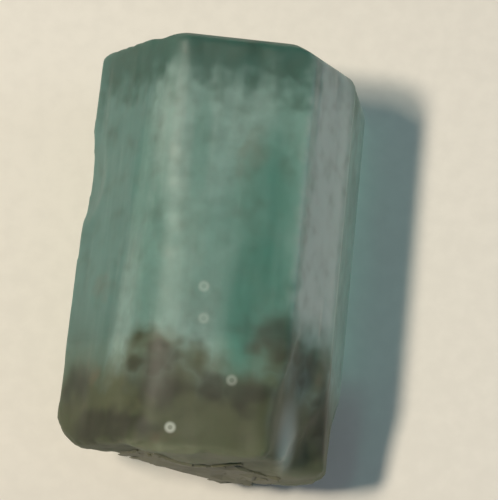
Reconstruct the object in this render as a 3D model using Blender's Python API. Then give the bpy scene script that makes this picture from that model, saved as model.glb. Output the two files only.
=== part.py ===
"""A raw emerald crystal, lying on one side of its prism.

The emerald grew as one piece, so it is one solid: a six-sided prism with one corner
truncated by a narrow seventh side, low growth ledges along its sides, a flat
growth end ringed by worn facets, and a rough break where it came away from its
rock.  A chip has gone from one shoulder beside the break, and small hollows are
left where mica flakes fell out.

It grew round a cluster of mica, which is the other solid.  The cluster fills a pocket
that is open at the break, and shows there.

Metres, +Z up.  +Y runs along the prism to the growth end, the side that the
crystal rests on lies on z = 0, and the origin is at the centre of its box there.
"""

import math
import random
from collections import namedtuple

import bmesh
import bpy
from mathutils import Matrix, Vector, noise

MM = 0.001

# The prism's axis runs along Y at x = 0, this high above the ground.
AXIS_HEIGHT = 5.8 * MM
GROWTH_END_Y = 10.35 * MM
BREAK_Y = -7.95 * MM  # the break, where it crosses the axis
STOCK_PAST_BREAK = 2.0 * MM
RING_SPACING = 0.9 * MM

# The sides in turn.  direction is the way a side's normal points, in degrees from +X
# towards +Z, and distance is from the axis.
Side = namedtuple("Side", "name direction distance ledges")
SIDES = (
    Side("right", 10.5, 5.64 * MM, 3),
    Side("upper_right", 30.0, 5.67 * MM, 4),
    Side("top", 90.0, AXIS_HEIGHT, 6),
    Side("upper_left", 150.0, 5.38 * MM, 6),
    Side("lower_left", 210.0, 5.33 * MM, 5),
    Side("base", 270.0, AXIS_HEIGHT, 1),
    Side("lower_right", 330.0, 7.01 * MM, 3),
)
EDGE_RADIUS = 0.16 * MM
EDGE_ARC_STEPS = 2
LEFT_SPREAD = 3.0  # share by which the left side widens for each metre towards the break

# Growth ledges: long low steps along the sides.
LEDGE_DEPTH = 0.11 * MM
LEDGE_RISER = 0.07 * MM  # how far across the side a step takes to fall
LEDGE_UNEVENNESS = 0.3  # how far a ledge strays from even spacing, as a share of it
LEDGE_WAVE = 7.0 * MM  # length along Y over which a ledge rises and dies out
LEDGE_CONTRAST = 1.6
LEDGE_SEED = 17

# Facets round the growth end: slope from the flat end in degrees, and how far in from the
# side the facet starts.  The two right-hand corners are worn round, so they have two each.
EndFacet = namedtuple("EndFacet", "side slope setback")
END_FACETS = (
    EndFacet("top", 30.0, 0.62 * MM),
    EndFacet("upper_left", 30.0, 0.12 * MM),
    EndFacet("lower_left", 30.0, 0.40 * MM),
    EndFacet("base", 30.0, 0.55 * MM),
    EndFacet("lower_right", 30.0, 0.90 * MM),
    EndFacet("right", 30.0, 0.95 * MM),
    EndFacet("right", 62.0, 0.48 * MM),
    EndFacet("upper_right", 28.0, 1.12 * MM),
    EndFacet("upper_right", 58.0, 0.50 * MM),
)

# Hexagonal growth plates on the flat end; x and height are their centre's, from the axis.
GrowthPlate = namedtuple("GrowthPlate", "radius thickness x height")
GROWTH_PLATES = (
    GrowthPlate(3.9 * MM, 0.14 * MM, -0.5 * MM, 0.2 * MM),
    GrowthPlate(2.3 * MM, 0.26 * MM, 0.6 * MM, -0.7 * MM),
)
PLATE_SINK = 1.0 * MM  # how far a plate's solid reaches into the crystal

# The break leans and twists across the prism, bellies out in its middle, and curls back at
# its left and right rims and towards the base.
BREAK_SIDEWAYS = -0.06  # metres along Y for each metre along X
BREAK_LEAN = 0.01  # metres along Y for each metre of height
BREAK_TWIST = 15.0  # change of the lean for each metre along X
BREAK_LEFT_RIM_START = 5.45 * MM  # from the axis, sideways
BREAK_LEFT_RIM_CURL = 900.0  # in 1/m
BREAK_RIGHT_RIM_START = 3.6 * MM
BREAK_RIGHT_RIM_CURL = 82.0
BREAK_BELLY_X = -0.3 * MM  # the belly's middle
BREAK_BELLY_HALF_WIDTH = 2.4 * MM
BREAK_BELLY_DEPTH = 0.26 * MM
BREAK_BASE_CURL = 30.0  # in 1/m
BREAK_LUMPS = ((2.6 * MM, 0.26 * MM), (0.9 * MM, 0.16 * MM), (0.45 * MM, 0.05 * MM))
BREAK_CELL = 0.60 * MM
BREAK_CUTTER_SIDE = 17.0 * MM
BREAK_CUTTER_DEPTH = 5.0 * MM
BREAK_NOISE_ROW = 11.3  # the slice of the noise that the lumps are read from

# Lumpy hollows bitten into a side: centre on its surface (x, y), half size along
# (x, y, z) and depth in millimetres, icosphere subdivisions, and lumpiness as a share of
# the size.
Hollow = namedtuple("Hollow", "name place half_size depth side subdivisions lumpiness")
HOLLOWS = (
    Hollow("shoulder_chip", (4.1, -7.7), (4.2, 9.6, 4.2), 0.84, "upper_right", 4, 0.07),
    Hollow("shoulder_spall", (5.0, -8.6), (2.6, 4.4, 2.6), 1.20, "upper_right", 4, 0.12),
    Hollow("right_edge_scallop", (6.2, -8.2), (3.0, 7.0, 3.0), 0.62, "right", 4, 0.06),
    Hollow("left_edge_scallop", (-6.1, 4.6), (3.4, 5.0, 3.4), 0.30, "upper_left", 4, 0.03),
    Hollow("underside_nick", (-4.2, -6.6), (1.9, 1.6, 1.9), 0.24, "lower_left", 3, 0.12),
    Hollow("break_corner_nick", (-2.5, -7.9), (1.3, 1.0, 1.3), 0.20, "top", 3, 0.12),
)
LUMP_FREQUENCY = 1.7  # lumps to a unit ball, with half-height ones on them at the second
FINE_LUMP_FREQUENCY = 4.6

# Round etch pits in the top side, at (x, y), in millimetres.
EtchPit = namedtuple("EtchPit", "place rim_radius depth")
ETCH_PITS = (
    EtchPit((-1.49, -7.10), 0.28, 0.13),
    EtchPit((-0.66, -0.92), 0.22, 0.10),
    EtchPit((-0.53, -2.30), 0.24, 0.10),
    EtchPit((0.92, -4.83), 0.22, 0.09),
)
ETCH_PIT_SEGMENTS = (14, 18)  # round the pit's ball, and from pole to pole

# Hollows left by mica flakes, scattered over the sides near the break.
MICA_HOLLOWS = 12
MICA_HOLLOW_RADIUS = (0.28 * MM, 0.62 * MM)
MICA_HOLLOW_STRETCH = (0.8, 1.7)  # along Y
MICA_HOLLOW_DEPTH = (0.10 * MM, 0.22 * MM)
MICA_HOLLOW_REACH = (0.6 * MM, 4.8 * MM)  # how far from the break they are found
MICA_HOLLOW_ACROSS = 1.9 * MM  # and how far from a side's middle line
MICA_HOLLOW_LUMPINESS = 0.25
MICA_SEED = 5

# The mica cluster: groups of books, which are short six-sided prisms of mica grown into
# one another round a lumpy core.  centre and core (its half size) are in millimetres.
MicaGroup = namedtuple("MicaGroup", "name centre core books")
MICA_GROUPS = (
    MicaGroup("mass", (-0.3, -7.0, 5.4), (3.7, 2.5, 3.6), 24),
    MicaGroup("left_peak", (-2.5, -5.3, 8.6), (1.3, 1.6, 1.3), 10),
    MicaGroup("right_peak", (2.1, -4.6, 8.5), (1.0, 1.5, 1.1), 9),
    MicaGroup("shoulder", (3.2, -6.4, 5.6), (1.1, 2.2, 1.9), 8),
)
MICA_CORE_SUBDIVISIONS = 2
MICA_CORE_LUMPINESS = 0.22
BOOK_RADIUS = (0.6 * MM, 1.35 * MM)
BOOK_THICKNESS = (0.3 * MM, 0.7 * MM)
BOOK_TRIES = 60
BOOK_SEED = 12
MICA_COVER = 1.2 * MM  # least depth of a book's corner under the crystal's sides
CHIPPED_COVER = {"upper_right": 2.3 * MM, "right": 1.9 * MM}  # and where the chips are
POCKET_GAP = 0.32 * MM  # between the cluster and its pocket's wall

EMERALD_COLOR = (0.13, 0.24, 0.18, 1.0)
EMERALD_ROUGHNESS = 0.22
BERYL_IOR = 1.58
EMERALD_TRANSMISSION = 0.6
MICA_COLOR = (0.07, 0.06, 0.035, 1.0)
MICA_ROUGHNESS = 0.4
SHARP_ANGLE = math.radians(18.0)

ORDER_WAY = Vector((0.613, 0.529, 0.587))  # the mesh is listed along this skew way


def clear_scene():
    for obj in list(bpy.data.objects):
        bpy.data.objects.remove(obj, do_unlink=True)


def collection(name):
    made = bpy.data.collections.new(name)
    bpy.context.scene.collection.children.link(made)
    return made


def add_object(name, bm, home):
    """Turns a bmesh into an object in the collection home."""
    mesh = bpy.data.meshes.new(name)
    bm.to_mesh(mesh)
    bm.free()
    obj = bpy.data.objects.new(name, mesh)
    home.objects.link(obj)
    return obj


def settle(bm):
    """Makes every face triangles, and puts points, edges and faces in one lasting order."""
    bmesh.ops.triangulate(
        bm, faces=bm.faces[:], quad_method="SHORT_EDGE", ngon_method="BEAUTY"
    )
    bm.verts.sort(key=lambda vert: vert.co.dot(ORDER_WAY))
    bm.edges.sort(key=lambda edge: (edge.verts[0].co + edge.verts[1].co).dot(ORDER_WAY))
    bm.faces.sort(key=lambda face: face.calc_center_median().dot(ORDER_WAY))


def normal_of(degrees):
    """The unit vector across the prism that points that way."""
    turn = math.radians(degrees)
    return Vector((math.cos(turn), 0.0, math.sin(turn)))


def side_named(name):
    return next(side for side in SIDES if side.name == name)


def corner_between(side, following):
    """Where two neighbouring sides' planes meet, in the prism's cross-section."""
    n, m = normal_of(side.direction), normal_of(following.direction)
    determinant = n.x * m.z - n.z * m.x
    x = (side.distance * m.z - following.distance * n.z) / determinant
    z = (following.distance * n.x - side.distance * m.x) / determinant
    return Vector((x, 0.0, z))


def edge_arc(side, following):
    """Points round the worn edge between two sides."""
    turn = (following.direction - side.direction) % 360.0
    n, m = normal_of(side.direction), normal_of(following.direction)
    centre = corner_between(side, following) - (n + m) * (EDGE_RADIUS / (1.0 + n.dot(m)))
    shares = [k / EDGE_ARC_STEPS for k in range(EDGE_ARC_STEPS + 1)]
    return [centre + normal_of(side.direction + turn * share) * EDGE_RADIUS for share in shares]


def outline():
    """The cross-section as (point, side, ledge number) in turn; edges have ledge 0."""
    chance = random.Random(LEDGE_SEED)
    points = []
    ledge = 0
    for k, side in enumerate(SIDES):
        start = edge_arc(SIDES[k - 1], side)[-1]
        arc = edge_arc(side, SIDES[(k + 1) % len(SIDES)])
        along = arc[0] - start
        stray = LEDGE_UNEVENNESS
        cuts = [(i + chance.uniform(-stray, stray)) / side.ledges for i in range(1, side.ledges)]
        half_riser = 0.5 * LEDGE_RISER / along.length
        for cut in cuts:
            points.append((start + along * (cut - half_riser), k, ledge))
            ledge += 1
            points.append((start + along * (cut + half_riser), k, ledge))
        ledge += 1
        points += [(point, k, 0) for point in arc]
    return points


def ledge_height(ledge, y):
    """How far a ledge lies below its side there: nothing, or up to LEDGE_DEPTH."""
    wave = noise.noise(Vector((y / LEDGE_WAVE, 3.7 * ledge, 0.0)))
    return -LEDGE_DEPTH * min(1.0, max(0.0, 0.5 + LEDGE_CONTRAST * wave))


def prism():
    """The stock: the cross-section carried along Y in rings, with its ledges."""
    bm = bmesh.new()
    side_layer = bm.verts.layers.int.new("side")
    ledge_layer = bm.verts.layers.int.new("ledge")
    start_y = BREAK_Y - STOCK_PAST_BREAK
    ring = []
    for point, side, ledge in outline():
        vert = bm.verts.new(point + Vector((0.0, start_y, AXIS_HEIGHT)))
        vert[side_layer] = side
        vert[ledge_layer] = ledge
        ring.append(vert)
    edges = [bm.edges.new((ring[k - 1], ring[k])) for k in range(len(ring))]
    bmesh.ops.contextual_create(bm, geom=edges)
    rings = round((GROWTH_END_Y - start_y) / RING_SPACING)
    step = Vector((0.0, (GROWTH_END_Y - start_y) / rings, 0.0))
    for _ in range(rings):
        made = bmesh.ops.extrude_edge_only(bm, edges=edges)["geom"]
        ring = [item for item in made if isinstance(item, bmesh.types.BMVert)]
        edges = [item for item in made if isinstance(item, bmesh.types.BMEdge)]
        edges = [edge for edge in edges if all(vert in ring for vert in edge.verts)]
        bmesh.ops.translate(bm, vec=step, verts=ring)
    bmesh.ops.contextual_create(bm, geom=edges)
    for vert in bm.verts:
        if vert[ledge_layer]:
            outward = normal_of(SIDES[vert[side_layer]].direction)
            vert.co += outward * ledge_height(vert[ledge_layer], vert.co.y)
        if vert.co.x < 0.0:
            vert.co.x *= 1.0 + LEFT_SPREAD * (GROWTH_END_Y - vert.co.y)
    bmesh.ops.recalc_face_normals(bm, faces=bm.faces)
    return bm


def cut_end_facets(bm):
    """Cuts the sloping facets between the flat growth end and the sides."""
    for facet in END_FACETS:
        slope = math.radians(facet.slope)
        side = side_named(facet.side)
        outward = normal_of(side.direction)
        start = outward * (side.distance - facet.setback)
        start += Vector((0.0, GROWTH_END_Y, AXIS_HEIGHT))
        way = outward * math.sin(slope) + Vector((0.0, math.cos(slope), 0.0))
        geometry = bm.verts[:] + bm.edges[:] + bm.faces[:]
        cut = bmesh.ops.bisect_plane(
            bm, geom=geometry, plane_co=start, plane_no=way, clear_outer=True
        )
        rim = [item for item in cut["geom_cut"] if isinstance(item, bmesh.types.BMEdge)]
        bmesh.ops.contextual_create(bm, geom=rim)
    bmesh.ops.recalc_face_normals(bm, faces=bm.faces)
    settle(bm)


def growth_plate(number, plate, home):
    """A thin hexagonal plate standing out of the flat growth end."""
    bm = bmesh.new()
    bmesh.ops.create_cone(
        bm,
        cap_ends=True,
        segments=6,
        radius1=plate.radius,
        radius2=plate.radius,
        depth=PLATE_SINK + plate.thickness,
    )
    bmesh.ops.rotate(bm, matrix=Matrix.Rotation(math.radians(30.0), 3, "Z"), verts=bm.verts)
    bmesh.ops.rotate(bm, matrix=Matrix.Rotation(math.radians(90.0), 3, "X"), verts=bm.verts)
    middle_y = GROWTH_END_Y + (plate.thickness - PLATE_SINK) / 2
    middle = Vector((plate.x, middle_y, AXIS_HEIGHT + plate.height))
    bmesh.ops.translate(bm, vec=middle, verts=bm.verts)
    return add_object(f"growth_plate_{number}", bm, home)


def break_y(x, z):
    """Where the rough break lies, at x and at the height z above the ground."""
    height = z - AXIS_HEIGHT
    y = BREAK_Y + BREAK_SIDEWAYS * x + (BREAK_LEAN + BREAK_TWIST * x) * height
    y += BREAK_LEFT_RIM_CURL * max(0.0, -x - BREAK_LEFT_RIM_START) ** 2
    y += BREAK_RIGHT_RIM_CURL * max(0.0, x - BREAK_RIGHT_RIM_START) ** 2
    y -= BREAK_BELLY_DEPTH * math.exp(-(((x - BREAK_BELLY_X) / BREAK_BELLY_HALF_WIDTH) ** 2))
    y += BREAK_BASE_CURL * min(0.0, height) ** 2
    for size, tall in BREAK_LUMPS:
        y += tall * noise.noise(Vector((x / size, BREAK_NOISE_ROW, z / size)))
    return y


def break_cutter(home):
    """A block whose front is the break's surface."""
    cells = round(BREAK_CUTTER_SIDE / BREAK_CELL)
    bm = bmesh.new()
    bmesh.ops.create_grid(bm, x_segments=cells, y_segments=cells, size=BREAK_CUTTER_SIDE / 2)
    bmesh.ops.rotate(bm, matrix=Matrix.Rotation(math.radians(90.0), 3, "X"), verts=bm.verts)
    bmesh.ops.translate(bm, vec=(0.0, 0.0, AXIS_HEIGHT), verts=bm.verts)
    for vert in bm.verts:
        vert.co.y = break_y(vert.co.x, vert.co.z)
    made = bmesh.ops.extrude_face_region(bm, geom=bm.faces[:])["geom"]
    for item in made:
        if isinstance(item, bmesh.types.BMVert):
            item.co.y = BREAK_Y - BREAK_CUTTER_DEPTH
    bmesh.ops.recalc_face_normals(bm, faces=bm.faces)
    settle(bm)
    return add_object("break_cutter", bm, home)


def lumpy_ball(name, centre, half_size, subdivisions, lumpiness, home):
    """A cutter: an ellipsoid whose surface wanders in and out, in large and small lumps."""
    bm = bmesh.new()
    bmesh.ops.create_icosphere(bm, subdivisions=subdivisions, radius=1.0)
    shift = Vector(centre) / MM
    for vert in bm.verts:
        swell = noise.noise(vert.co * LUMP_FREQUENCY + shift)
        swell += 0.5 * noise.noise(vert.co * FINE_LUMP_FREQUENCY + shift)
        vert.co *= 1.0 + lumpiness * swell
    bmesh.ops.scale(bm, vec=half_size, verts=bm.verts)
    bmesh.ops.translate(bm, vec=centre, verts=bm.verts)
    settle(bm)
    return add_object(name, bm, home)


def hollow_cutter(hollow, home):
    """A lumpy ball that bites into a sloping or level side at the hollow's place."""
    side = side_named(hollow.side)
    outward = normal_of(side.direction)
    x, y = hollow.place[0] * MM, hollow.place[1] * MM
    height = (side.distance - outward.x * x) / outward.z
    surface = Vector((x, y, AXIS_HEIGHT + height))
    half = Vector(hollow.half_size) * MM
    centre = surface + outward * (half.x - hollow.depth * MM)
    return lumpy_ball(hollow.name, centre, half, hollow.subdivisions, hollow.lumpiness, home)


def etch_pit_cutter(number, pit, home):
    """A ball that cuts a shallow round pit of that rim radius into the top side."""
    radius, depth = pit.rim_radius * MM, pit.depth * MM
    ball = (radius**2 + depth**2) / (2 * depth)
    round_it, pole_to_pole = ETCH_PIT_SEGMENTS
    bm = bmesh.new()
    bmesh.ops.create_uvsphere(bm, u_segments=round_it, v_segments=pole_to_pole, radius=ball)
    centre = Vector((pit.place[0] * MM, pit.place[1] * MM, 2 * AXIS_HEIGHT + ball - depth))
    bmesh.ops.translate(bm, vec=centre, verts=bm.verts)
    settle(bm)
    return add_object(f"etch_pit_cutter_{number}", bm, home)


def mica_hollow_cutters(home):
    """Small stretched balls that bite into the sides near the break."""
    chance = random.Random(MICA_SEED)
    sides = [side for side in SIDES if side.name != "base"]
    made = []
    for number in range(MICA_HOLLOWS):
        side = chance.choice(sides)
        outward = normal_of(side.direction)
        across = Vector((-outward.z, 0.0, outward.x))
        radius = chance.uniform(*MICA_HOLLOW_RADIUS)
        depth = chance.uniform(*MICA_HOLLOW_DEPTH)
        y = BREAK_Y + chance.uniform(*MICA_HOLLOW_REACH)
        aside = chance.uniform(-MICA_HOLLOW_ACROSS, MICA_HOLLOW_ACROSS)
        centre = outward * (side.distance + radius - depth) + across * aside
        centre += Vector((0.0, y, AXIS_HEIGHT))
        half = Vector((radius, radius * chance.uniform(*MICA_HOLLOW_STRETCH), radius))
        name = f"mica_hollow_cutter_{number}"
        made.append(lumpy_ball(name, centre, half, 2, MICA_HOLLOW_LUMPINESS, home))
    return made


def use_boolean(obj, other, operation):
    modifier = obj.modifiers.new(other.name, "BOOLEAN")
    modifier.operation = operation
    modifier.object = other
    other.hide_render = True
    other.display_type = "WIRE"
    return modifier


def bake_modifiers(obj):
    """Makes the evaluated mesh the object's own."""
    graph = bpy.context.evaluated_depsgraph_get()
    mesh = bpy.data.meshes.new_from_object(obj.evaluated_get(graph))
    bm = bmesh.new()
    bm.from_mesh(mesh)
    settle(bm)
    bm.to_mesh(mesh)
    bm.free()
    obj.modifiers.clear()
    obj.data = mesh


def well_covered(point):
    """Whether a point lies deep enough under every side."""
    from_axis = point - Vector((0.0, 0.0, AXIS_HEIGHT))
    for side in SIDES:
        cover = side.distance - from_axis.dot(normal_of(side.direction))
        if cover < CHIPPED_COVER.get(side.name, MICA_COVER):
            return False
    return True


def book_place(group, chance):
    """A place for a mica book on its group's core, tilted at random."""
    way = Vector([chance.gauss(0.0, 1.0) for _ in range(3)]).normalized()
    centre = Vector(group.centre) + Vector([w * half for w, half in zip(way, group.core)])
    axis = Vector([chance.gauss(0.0, 1.0) for _ in range(3)])
    turn = Matrix.Rotation(chance.uniform(0.0, math.tau), 4, axis.normalized())
    return Matrix.Translation(centre * MM) @ turn


def add_books(bm, group, swell, chance):
    """Adds a group's books, and leaves out any that has no place well inside the sides."""
    swell_of_corner = swell / math.cos(math.radians(30.0))
    for _ in range(group.books):
        radius = chance.uniform(*BOOK_RADIUS)
        thickness = chance.uniform(*BOOK_THICKNESS)
        for _ in range(BOOK_TRIES):
            place = book_place(group, chance)
            corners = [place @ (normal_of(60.0 * k).xzy * radius) for k in range(6)]
            if all(well_covered(corner) for corner in corners):
                bmesh.ops.create_cone(
                    bm,
                    cap_ends=True,
                    segments=6,
                    radius1=radius + swell_of_corner,
                    radius2=radius + swell_of_corner,
                    depth=thickness + 2.0 * swell,
                    matrix=place,
                )
                break


def shell_from(start):
    """Every face joined to this one."""
    shell, waiting = {start}, [start]
    while waiting:
        face = waiting.pop()
        for edge in face.edges:
            fresh = [other for other in edge.link_faces if other not in shell]
            shell.update(fresh)
            waiting.extend(fresh)
    return shell


def keep_largest_shell(obj):
    """Removes the walls of sealed holes, and books that touch nothing."""
    bm = bmesh.new()
    bm.from_mesh(obj.data)
    loose, shells = set(bm.faces), []
    while loose:
        shells.append(shell_from(next(iter(loose))))
        loose -= shells[-1]
    largest = max(shells, key=len)
    others = [face for face in bm.faces if face not in largest]
    bmesh.ops.delete(bm, geom=others, context="FACES")
    bm.to_mesh(obj.data)
    bm.free()


def mica_solid(name, swell, home, cutters):
    """The cores and books grown together, each swollen by that much on every side."""
    chance = random.Random(BOOK_SEED)
    books = bmesh.new()
    for group in MICA_GROUPS:
        add_books(books, group, swell, chance)
    solid = add_object(name, books, home)
    for group in MICA_GROUPS:
        centre = Vector(group.centre) * MM
        half = Vector(group.core) * MM + Vector((swell, swell, swell))
        core_name = f"{name}_core_{group.name}"
        core = lumpy_ball(
            core_name, centre, half, MICA_CORE_SUBDIVISIONS, MICA_CORE_LUMPINESS, cutters
        )
        use_boolean(solid, core, "UNION").use_self = True
    bake_modifiers(solid)
    keep_largest_shell(solid)
    return solid


def rest_at_origin(crystal, *others):
    """Puts the origin at the centre of the crystal's box, on the ground that it lies on."""
    xs = [vert.co.x for vert in crystal.data.vertices]
    ys = [vert.co.y for vert in crystal.data.vertices]
    middle = Vector((-(min(xs) + max(xs)) / 2, -(min(ys) + max(ys)) / 2, 0.0))
    for obj in (crystal, *others):
        obj.data.transform(Matrix.Translation(middle))


def finish(obj, material):
    obj.data.materials.clear()
    obj.data.materials.append(material)
    obj.data.shade_smooth()
    obj.data.set_sharp_from_angle(angle=SHARP_ANGLE)


def plain_material(name, color, roughness):
    material = bpy.data.materials.new(name)
    material.use_nodes = True
    shader = material.node_tree.nodes["Principled BSDF"]
    shader.inputs["Base Color"].default_value = color
    shader.inputs["Roughness"].default_value = roughness
    shader.inputs["Metallic"].default_value = 0.0
    return material


def emerald_material():
    material = plain_material("emerald", EMERALD_COLOR, EMERALD_ROUGHNESS)
    shader = material.node_tree.nodes["Principled BSDF"]
    shader.inputs["IOR"].default_value = BERYL_IOR
    shader.inputs["Transmission Weight"].default_value = EMERALD_TRANSMISSION
    return material


def main():
    clear_scene()
    home = collection("raw_emerald_crystal")
    cutters = collection("cutters")

    bm = prism()
    cut_end_facets(bm)
    crystal = add_object("emerald_crystal", bm, home)
    cluster = mica_solid("mica_cluster", 0.0, home, cutters)
    pocket = mica_solid("mica_pocket", POCKET_GAP, cutters, cutters)
    the_break = break_cutter(cutters)

    for number, plate in enumerate(GROWTH_PLATES):
        use_boolean(crystal, growth_plate(number, plate, cutters), "UNION")
    use_boolean(crystal, the_break, "DIFFERENCE")
    for hollow in HOLLOWS:
        use_boolean(crystal, hollow_cutter(hollow, cutters), "DIFFERENCE")
    for cutter in mica_hollow_cutters(cutters):
        use_boolean(crystal, cutter, "DIFFERENCE")
    for number, pit in enumerate(ETCH_PITS):
        use_boolean(crystal, etch_pit_cutter(number, pit, cutters), "DIFFERENCE")
    use_boolean(crystal, pocket, "DIFFERENCE")
    use_boolean(cluster, the_break, "DIFFERENCE")

    for obj in (crystal, cluster):
        bake_modifiers(obj)
        keep_largest_shell(obj)
    rest_at_origin(crystal, cluster)
    finish(crystal, emerald_material())
    finish(cluster, plain_material("mica", MICA_COLOR, MICA_ROUGHNESS))


main()
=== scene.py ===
"""The finish of a raw emerald crystal: its etched surface, the mica, growth tubes and
milky veils inside it, and the stage that it lies on.

Metres, +Z up.  +Y runs along the crystal to its growth end, z = 0 is the ground, and the
crystal's box is centred on the origin there.
"""

import math
import random
from collections import namedtuple

import bmesh
import bpy
from bpy.props import FloatProperty, FloatVectorProperty, IntProperty, PointerProperty
from mathutils import Matrix, Vector, noise
from mathutils.bvhtree import BVHTree


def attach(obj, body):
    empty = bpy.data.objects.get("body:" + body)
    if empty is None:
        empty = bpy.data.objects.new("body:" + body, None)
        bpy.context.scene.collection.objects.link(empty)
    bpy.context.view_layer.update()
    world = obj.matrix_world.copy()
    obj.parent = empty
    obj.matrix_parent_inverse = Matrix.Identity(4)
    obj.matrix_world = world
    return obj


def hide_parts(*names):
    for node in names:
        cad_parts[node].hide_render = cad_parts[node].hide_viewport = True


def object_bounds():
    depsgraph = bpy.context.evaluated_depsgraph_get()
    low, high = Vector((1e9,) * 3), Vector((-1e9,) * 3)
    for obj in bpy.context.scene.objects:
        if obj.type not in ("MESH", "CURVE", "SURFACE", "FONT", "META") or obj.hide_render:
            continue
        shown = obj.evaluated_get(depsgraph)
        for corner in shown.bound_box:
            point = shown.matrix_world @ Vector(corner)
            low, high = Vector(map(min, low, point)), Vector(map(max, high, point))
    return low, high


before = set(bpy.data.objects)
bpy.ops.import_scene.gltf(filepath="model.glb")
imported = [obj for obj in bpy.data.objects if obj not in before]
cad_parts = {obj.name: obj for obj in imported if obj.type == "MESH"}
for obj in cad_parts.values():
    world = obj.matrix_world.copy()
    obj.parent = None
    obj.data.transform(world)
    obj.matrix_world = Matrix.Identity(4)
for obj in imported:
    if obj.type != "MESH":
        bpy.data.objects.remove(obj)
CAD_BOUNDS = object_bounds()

bl_info = {
    "name": "Raw emerald crystal",
    "version": (1, 0, 0),
    "blender": (4, 5, 0),
    "location": "3D View > Sidebar > Emerald",
    "description": "Finishes a raw emerald crystal and sets it on a pale stage",
    "category": "Object",
}

MM = 0.001
BODY = "root"
EMERALD_NODE = "emerald_crystal"
MICA_NODE = "mica_cluster"

# ------------------------------------------------------------------ shader maths

# A noise: its cells to a millimetre along X, Y and Z, its detail, and how far it is shifted.
Pattern = namedtuple("Pattern", "scale detail shift", defaults=(0.0,))
# A part of the crystal: an ellipsoid's centre and half sizes, in millimetres.
Zone = namedtuple("Zone", "centre size")
NOISE_MIDDLE = 0.5
# The Mix node's sockets for colours
MIX_FIRST, MIX_SECOND, MIX_RESULT = 6, 7, 2


class Wire:
    """An output socket; arithmetic on it adds Math nodes."""

    def __init__(self, look, socket):
        self.look = look
        self.socket = socket

    def __add__(self, other):
        return self.look.maths("ADD", self, other)

    __radd__ = __add__

    def __mul__(self, other):
        return self.look.maths("MULTIPLY", self, other)

    __rmul__ = __mul__

    def __sub__(self, other):
        return self.look.maths("SUBTRACT", self, other)

    def __rsub__(self, other):
        return self.look.maths("SUBTRACT", other, self)


class Look:
    """A material under construction."""

    def __init__(self, name):
        self.material = bpy.data.materials.new(name)
        self.material.use_nodes = True
        self.tree = self.material.node_tree
        self.tree.nodes.clear()
        object_place = self.node("TexCoord", {}, {}, "Object")
        # Object coordinates in millimetres
        self.place = self.scaled(object_place, (1 / MM, 1 / MM, 1 / MM))

    def node(self, kind, settings, values, output=0):
        """Adds a node, sets it up, gives its sockets values or links, and returns an output."""
        made = self.tree.nodes.new("ShaderNode" + kind)
        for name, value in settings.items():
            setattr(made, name, value)
        for name, value in values.items():
            if isinstance(value, Wire):
                self.tree.links.new(value.socket, made.inputs[name])
            else:
                made.inputs[name].default_value = value
        return Wire(self, made.outputs[output]) if made.outputs else None

    def maths(self, operation, *values):
        return self.node("Math", {"operation": operation}, dict(enumerate(values)))

    def vector_maths(self, operation, first, second):
        return self.node("VectorMath", {"operation": operation}, {0: first, 1: second})

    def scaled(self, vector, scale):
        return self.vector_maths("MULTIPLY", vector, scale)

    def grain(self, pattern):
        """Noise from 0 to 1."""
        moved = self.scaled(self.place, pattern.scale)
        moved = self.vector_maths("ADD", moved, (pattern.shift,) * 3)
        values = {"Vector": moved, "Scale": 1.0, "Detail": pattern.detail}
        return self.node("TexNoise", {}, values)

    def ease(self, value, low, high):
        """0 below low and 1 above high, eased between; low may be the larger of the two."""
        settings = {"interpolation_type": "SMOOTHSTEP"}
        values = {"Value": value, "From Min": low, "From Max": high}
        return self.node("MapRange", settings, values)

    def stirred(self, scale, reach):
        """The place in millimetres, moved by up to half the reach along each axis."""
        moved = self.scaled(self.place, (scale,) * 3)
        values = {"Vector": moved, "Scale": 1.0, "Detail": 1.0}
        stir = self.node("TexNoise", {}, values, "Color")
        stir = self.vector_maths("SUBTRACT", stir, (NOISE_MIDDLE,) * 3)
        return self.vector_maths("ADD", self.place, self.scaled(stir, (reach,) * 3))

    def spot(self, place, zone, edge):
        """1 inside a zone and 0 outside, eased over a band that is edge half sizes wide."""
        away = self.vector_maths("SUBTRACT", place, zone.centre)
        away = self.scaled(away, [1 / half for half in zone.size])
        reach = self.node("VectorMath", {"operation": "LENGTH"}, {0: away}, "Value")
        return self.ease(reach, 1.0 + edge / 2, 1.0 - edge / 2)

    def most(self, masks):
        """The greatest of several masks at each point."""
        top = masks[0]
        for mask in masks[1:]:
            top = self.maths("MAXIMUM", top, mask)
        return top

    def any_zone(self, place, zones, edge):
        """1 inside any of the zones."""
        return self.most([self.spot(place, zone, edge) for zone in zones])

    def mix(self, share, first, second):
        """A colour: first where share is 0, second where it is 1."""
        settings = {"data_type": "RGBA", "clamp_factor": True}
        values = {0: share, MIX_FIRST: first, MIX_SECOND: second}
        return self.node("Mix", settings, values, MIX_RESULT)

    def blend(self, share, first, second):
        """A shader: first where share is 0, second where it is 1."""
        return self.node("MixShader", {}, {0: share, 1: first, 2: second})

    def principled(self, values):
        return self.node("BsdfPrincipled", {}, values)

    def finish(self, surface, volume=None):
        values = {"Surface": surface}
        if volume is not None:
            values["Volume"] = volume
        self.node("OutputMaterial", {}, values)
        return self.material


def swing(pattern, reach):
    """A pattern as a swing to either side of 0, by up to half the reach."""
    return (pattern - NOISE_MIDDLE) * reach


def darker(colour, share):
    """An opaque colour that keeps a share of another's light."""
    return opaque([share * part for part in colour])


def opaque(colour):
    return (colour[0], colour[1], colour[2], 1.0)


# ------------------------------------------------------------------ settings


def colour_setting(name, description, default):
    return FloatVectorProperty(
        name=name, description=description, default=default, subtype="COLOR", min=0.0, max=1.0
    )


def length_setting(name, description, default):
    return FloatProperty(
        name=name, description=description, default=default, unit="LENGTH", precision=5
    )


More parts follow.
